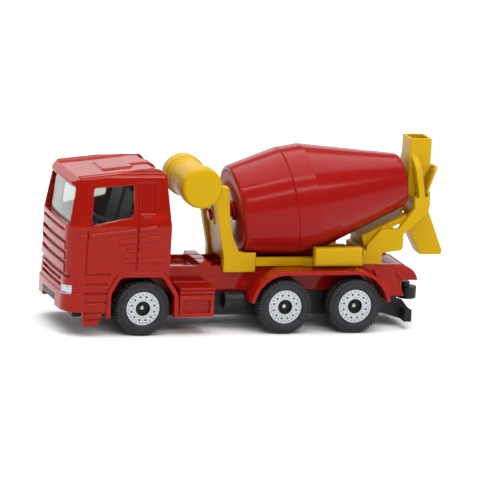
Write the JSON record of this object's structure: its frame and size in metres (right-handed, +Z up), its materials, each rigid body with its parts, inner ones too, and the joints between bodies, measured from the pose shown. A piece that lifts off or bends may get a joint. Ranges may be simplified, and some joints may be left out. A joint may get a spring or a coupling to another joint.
{
  "type": "toy cement mixer",
  "caption": "Pocket-size die-cast toy truck with a turning mixing drum, a swivelling discharge chute, a glazed cab and rolling wheels.",
  "frame": {"origin": "on the ground, below the middle of the whole length", "axes": "+Z up, the front bumper faces -Y, +X is the truck's left side"},
  "size_m": [0.0284, 0.0968, 0.0453],
  "materials": {
    "enamel_red": "glossy red enamel on a zinc casting",
    "plastic_red": "moulded red plastic",
    "plastic_yellow": "moulded yellow plastic",
    "plastic_black": "moulded black plastic",
    "plastic_grey": "moulded grey plastic",
    "clear_glazing": "clear moulded glazing",
    "steel": "bright steel",
    "wheel_black": "moulded black wheel",
    "silver_foil": "silver foil print on wheels and lamps"
  },
  "bodies": {
    "chassis": {"cab_shell": "enamel_red", "cab_glazing": "clear_glazing", "cab_interior": "plastic_grey", "chassis_frame": "enamel_red", "baseplate": "plastic_black", "base_rivets": "steel", "mixer_stand": "plastic_yellow", "water_tank": "plastic_yellow", "rear_stand": "plastic_yellow", "chute_pin": "steel"},
    "drum": {"drum_front": "plastic_red", "drum_rear": "plastic_red"},
    "chute": {"chute": "plastic_yellow"},
    "front_wheels": {"front_axle": "steel", "wheel_front_left": "wheel_black", "wheel_front_right": "wheel_black"},
    "middle_wheels": {"middle_axle": "steel", "wheel_middle_left": "wheel_black", "wheel_middle_right": "wheel_black"},
    "rear_wheels": {"rear_axle": "steel", "wheel_rear_left": "wheel_black", "wheel_rear_right": "wheel_black"}
  },
  "joints": [
    {"name": "drum_spin", "type": "hinge", "parent": "chassis", "child": "drum", "pos_m": [0, 0.0084, 0.0295], "axis": [0, 0.9848, 0.1736], "continuous": true},
    {"name": "chute_swivel", "type": "hinge", "parent": "chassis", "child": "chute", "pos_m": [0, 0.04189, 0.0314], "axis": [0, 0, 1], "range_deg": [-30, 30]},
    {"name": "front_wheels_spin", "type": "hinge", "parent": "chassis", "child": "front_wheels", "pos_m": [0, -0.0287, 0.0066], "axis": [1, 0, 0], "continuous": true},
    {"name": "middle_wheels_spin", "type": "hinge", "parent": "chassis", "child": "middle_wheels", "pos_m": [0, 0.0063, 0.0066], "axis": [1, 0, 0], "continuous": true},
    {"name": "rear_wheels_spin", "type": "hinge", "parent": "chassis", "child": "rear_wheels", "pos_m": [0, 0.0237, 0.0066], "axis": [1, 0, 0], "continuous": true}
  ]
}
